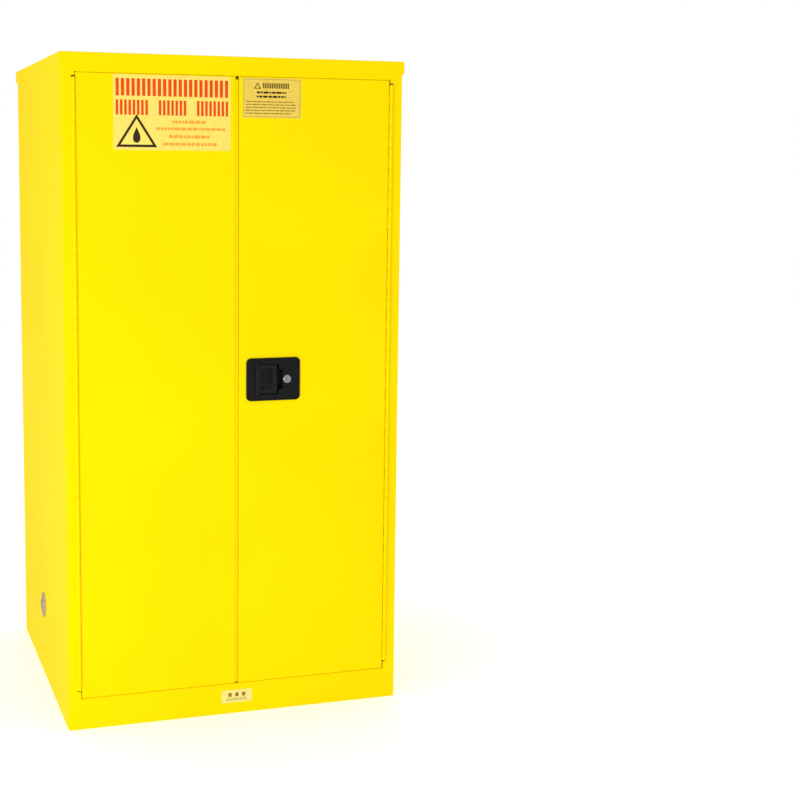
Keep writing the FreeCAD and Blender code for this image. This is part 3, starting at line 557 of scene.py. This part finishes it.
def add_base_plate():
    """Base panel: a small tin plate with three blocks over two lines of small print."""
    body = "cabinet"
    half_x, half_z, block, pitch = 40 * MM, 16.5 * MM, 4.5 * MM, 18 * MM
    z = 0.5 * SILL_TOP + 6 * MM
    add_label("base_plate", BASE_FACE, rounded(-half_x, half_x, z - half_z, z + half_z, 2.5 * MM),
              LABEL_TIN, body)
    marks = [rounded(x - block, x + block, z - 1 * MM, z + 9 * MM, 1.5 * MM) for x in (-pitch, 0.0, pitch)]
    marks += text_bars(random.Random(2), -28 * MM, 30 * MM, z - 12 * MM, z - 4 * MM, 2, 0.4)
    add_print("base_plate_marks", BASE_FACE, marks, PRINT_FAINT, body)


add_large_label()
add_small_label()
add_base_plate()


# ---- spot welds ----------------------------------------------------------------------------------
WELD_R = 3.8 * MM
WELD_PITCH = 41 * MM
FIRST_WELD = 34 * MM  # height of a row's first weld over the foot of its sheet
WELD_MARGIN = 60 * MM  # how much of a sheet's height a row leaves free
WELD_INSET = 9 * MM  # from the cabinet's rear corners to a row
WELD_SIDES = 14
WELD_PROFILE = ((1.0, -0.02), (0.86, 0.40), (0.64, 0.08), (0.30, 0.04))  # share of radius, height in mm


def weld_mark(shape, place, normal):
    """A shallow electrode print: a raised ring round a flat middle, under the paint."""
    across = Vector((0, 0, 1)).cross(normal).normalized()
    up = normal.cross(across)
    rings = []
    for share, height in WELD_PROFILE:
        ring = []
        for i in range(WELD_SIDES):
            angle = 2 * math.pi * i / WELD_SIDES
            offset = across * math.cos(angle) + up * math.sin(angle)
            ring.append(shape.verts.new(place + offset * (share * WELD_R) + normal * (height * MM)))
        rings.append(ring)
    skin(shape, rings)


def add_weld_rows(name, rows, node, body):
    """rows are (x, y, normal) of upright rows that run the height of a node."""
    low, high = corners(node)
    count = int((high.z - low.z - WELD_MARGIN) / WELD_PITCH)

    def build(shape):
        for x, y, normal in rows:
            for i in range(count):
                z = low.z + FIRST_WELD + i * WELD_PITCH
                weld_mark(shape, Vector((x, y, z)), Vector(normal))

    add_piece(name, build, MATERIALS["yellow_paint"], body)


def add_door_welds(side):
    """Welds down both edges of a door's inner pan."""
    node = side + "_door_liner"
    inset = 11 * MM
    low, high = corners(node)
    rows = [(x, high.y, (0, 1, 0)) for x in (low.x + inset, high.x - inset)]
    add_weld_rows(side + "_door_spot_welds", rows, node, side + "_door")


SIDE_ROWS = [(x, BACK_Y - WELD_INSET, (math.copysign(1, x), 0, 0)) for x in (SIDE_X, -SIDE_X)]
BACK_ROWS = [(x, BACK_Y, (0, 1, 0)) for x in (SIDE_X + WELD_INSET, -SIDE_X - WELD_INSET)]
add_weld_rows("side_spot_welds", SIDE_ROWS, "outer_back", "cabinet")
add_weld_rows("back_spot_welds", BACK_ROWS, "outer_back", "cabinet")
add_door_welds("left")
add_door_welds("right")


# ---- small turned and moulded details ------------------------------------------------------------
def turn(shape, centre, axis, profile, steps=24):
    """A turned solid: profile is (radius, distance along the axis), from one end to the other."""
    side = axis.orthogonal().normalized()
    up = axis.cross(side)
    rings = []
    for radius, along in profile:
        ring = []
        for i in range(steps):
            angle = 2 * math.pi * i / steps
            offset = side * math.cos(angle) + up * math.sin(angle)
            ring.append(shape.verts.new(centre + axis * along + offset * radius))
        rings.append(ring)
    skin(shape, rings)


def dome(radius, height, steps=4):
    """Half profile of a low dome that stands on a plane."""
    profile = [(radius, -0.1 * MM)]
    for i in range(steps):
        angle = 0.5 * math.pi * i / steps
        profile.append((radius * math.cos(angle), height * math.sin(angle)))
    return profile


def add_pin_heads(side):
    """The peened ends of a hinge pin."""
    low, high = corners(side + "_hinge_pin")
    middle = 0.5 * (low + high)

    def build(shape):
        for z, axis in ((high.z, Vector((0, 0, 1))), (low.z, Vector((0, 0, -1)))):
            turn(shape, Vector((middle.x, middle.y, z)), axis, dome(2.9 * MM, 1.3 * MM))

    add_piece(side + "_hinge_pin_heads", build, MATERIALS["zinc_plate"], "cabinet")


def add_latch_border():
    """A raised bead round the face of the latch plate."""
    low, high = LATCH

    def outline(inset, radius):
        return rounded(low.x + inset, high.x - inset, low.z + inset, high.z - inset, radius)

    def build(shape):
        outer, inner = outline(4.5 * MM, 9 * MM), outline(6.0 * MM, 7.5 * MM)
        extrude_ring(shape, outer, inner, low.y - 0.6 * MM, low.y + 0.3 * MM)

    add_piece("latch_border", build, MATERIALS["black_moulding"], "right_door")


def add_paddle_insert():
    """A ribbed grip pad in the paddle's dish."""
    low, high = corners("paddle")
    dish_floor = low.y + 1.6 * MM
    x0, x1 = low.x + 13.6 * MM, high.x - 14.1 * MM
    z0, z1 = low.z + 9.6 * MM, high.z - 9.6 * MM
    pitch, margin, rib_inset, rib_half = 4.5 * MM, 4 * MM, 3 * MM, 0.8 * MM
    ribs = int((z1 - z0 - margin) / pitch)
    start = 0.5 * (z0 + z1 - (ribs - 1) * pitch)

    def build(shape):
        extrude(shape, rounded(x0, x1, z0, z1, 4.4 * MM), dish_floor - 0.5 * MM, dish_floor + 0.1 * MM)
        for i in range(ribs):
            z = start + i * pitch
            outline = rounded(x0 + rib_inset, x1 - rib_inset, z - rib_half, z + rib_half, 0.75 * MM)
            extrude(shape, outline, dish_floor - 1.0 * MM, dish_floor - 0.4 * MM)

    add_piece("paddle_insert", build, MATERIALS["black_moulding"], "paddle")


def add_lock_dots():
    """Two small raised dots that mark the lock's two positions."""
    low, high = corners("lock_cylinder")
    middle = 0.5 * (low + high)
    reach = 14.5 * MM

    def build(shape):
        for angle in (math.pi / 2, 0.0):
            x = middle.x + reach * math.cos(angle)
            z = middle.z + reach * math.sin(angle)
            turn(shape, Vector((x, LATCH[0].y, z)), Vector((0, -1, 0)), dome(1.1 * MM, 0.6 * MM), 16)

    add_piece("lock_position_dots", build, MATERIALS["black_paddle"], "right_door")


def add_vent_grip(side, outward):
    """Fine ridges round the head of a vent bung."""
    low, high = corners(side + "_vent_cap")
    centre = 0.5 * (low + high)
    radius = 0.5 * (high.z - low.z)
    wall = SIDE_X * -outward
    ridges = 44
    section = ((-0.035, -0.2), (-0.018, 0.55), (0.018, 0.55), (0.035, -0.2))  # radians, mm beyond the rim

    def build(shape):
        for i in range(ridges):
            middle = 2 * math.pi * i / ridges
            loops = []
            for x in (wall + outward * 0.4 * MM, wall + outward * 3.2 * MM):
                loop = []
                for turn_by, out in section:
                    angle = middle + turn_by
                    reach = radius + out * MM
                    y = centre.y + reach * math.cos(angle)
                    z = centre.z + reach * math.sin(angle)
                    loop.append(shape.verts.new((x, y, z)))
                loops.append(loop)
            skin(shape, loops)

    add_piece(side + "_vent_grip", build, MATERIALS["zinc_plate"], "cabinet")


def add_sump_welds():
    """The rippled fillet weld round the floor of the sump."""
    low, high = corners("sump_pan")
    sheet, ripple_pitch, leg, ripple, root = 1.2 * MM, 3.2 * MM, 3.4 * MM, 0.5 * MM, 0.2 * MM
    x, y, z = high.x - sheet, high.y - sheet, low.z + sheet
    front = low.y + sheet
    edges = [((-x, front), (x, front), (0, 1)), ((-x, y), (x, y), (0, -1)),
             ((-x, front), (-x, y), (1, 0)), ((x, front), (x, y), (-1, 0))]
    up = Vector((0, 0, 1))

    def build(shape):
        for start, end, inward in edges:
            start, end, inward = Vector((*start, z)), Vector((*end, z)), Vector((*inward, 0))
            steps = int((end - start).length / ripple_pitch)
            sections = []
            for i in range(steps + 1):
                place = start.lerp(end, i / steps)
                size = leg + ripple * math.cos(math.pi * i)
                section = [shape.verts.new(place - (inward + up) * root)]
                for angle in (0, 30, 60, 90):
                    a = math.radians(angle)
                    reach = (inward * math.cos(a) + up * math.sin(a)) * size
                    section.append(shape.verts.new(place + reach))
                sections.append(section)
            skin(shape, sections)

    add_piece("sump_welds", build, MATERIALS["yellow_paint"], "cabinet")


def add_gap_hems():
    """Two folded hems that nearly close the gaps over and under the doors."""
    top = corners("door_stops")[1].z
    half_x = RIGHT_DOOR[1].x - 1.5 * MM
    thick = 1.2 * MM
    near, far = DOOR_FACE + 0.8 * MM, DOOR_FACE + 6 * MM

    def build(shape):
        for z in (top - thick, SILL_TOP):
            outline = [(-half_x, z), (half_x, z), (half_x, z + thick), (-half_x, z + thick)]
            extrude(shape, outline, near, far)

    add_piece("door_gap_hems", build, MATERIALS["yellow_paint"], "cabinet")


for side in ("left", "right"):
    add_pin_heads(side)
add_gap_hems()
add_latch_border()
add_paddle_insert()
add_lock_dots()
add_vent_grip("left", -1)
add_vent_grip("right", 1)
add_sump_welds()


# ---- broken edges on the plain nodes -------------------------------------------------------------
SHARP_ANGLE = 38  # degrees between two faces from which their edge is rounded
EDGE_ROUNDING = {  # width in mm: nodes
    0.6: ("left_vent_cap", "right_vent_cap"),
    0.5: ("paddle", "lower_shelf", "upper_shelf", "left_hinge_frame_leaf", "left_hinge_door_leaf",
          "right_hinge_frame_leaf", "right_hinge_door_leaf"),
    0.4: ("sump_pan", "shelf_clips", "shelf_standards"),
    0.3: ("top_strike", "bottom_strike", "centre_keeper", "ground_stud", "astragal"),
}


def soften(name, width):
    """Rounds a node's sharp edges with modifiers; its own mesh stays as it is."""
    node = NODES[name]
    weld = node.modifiers.new("weld", "WELD")
    weld.merge_threshold = 0.005 * MM
    bevel = node.modifiers.new("bevel", "BEVEL")
    bevel.width = width
    bevel.segments = 2
    bevel.limit_method = "ANGLE"
    bevel.angle_limit = math.radians(SHARP_ANGLE)
    bevel.use_clamp_overlap = True
    bevel.harden_normals = True


for width, names in EDGE_ROUNDING.items():
    for name in names:
        soften(name, width * MM)
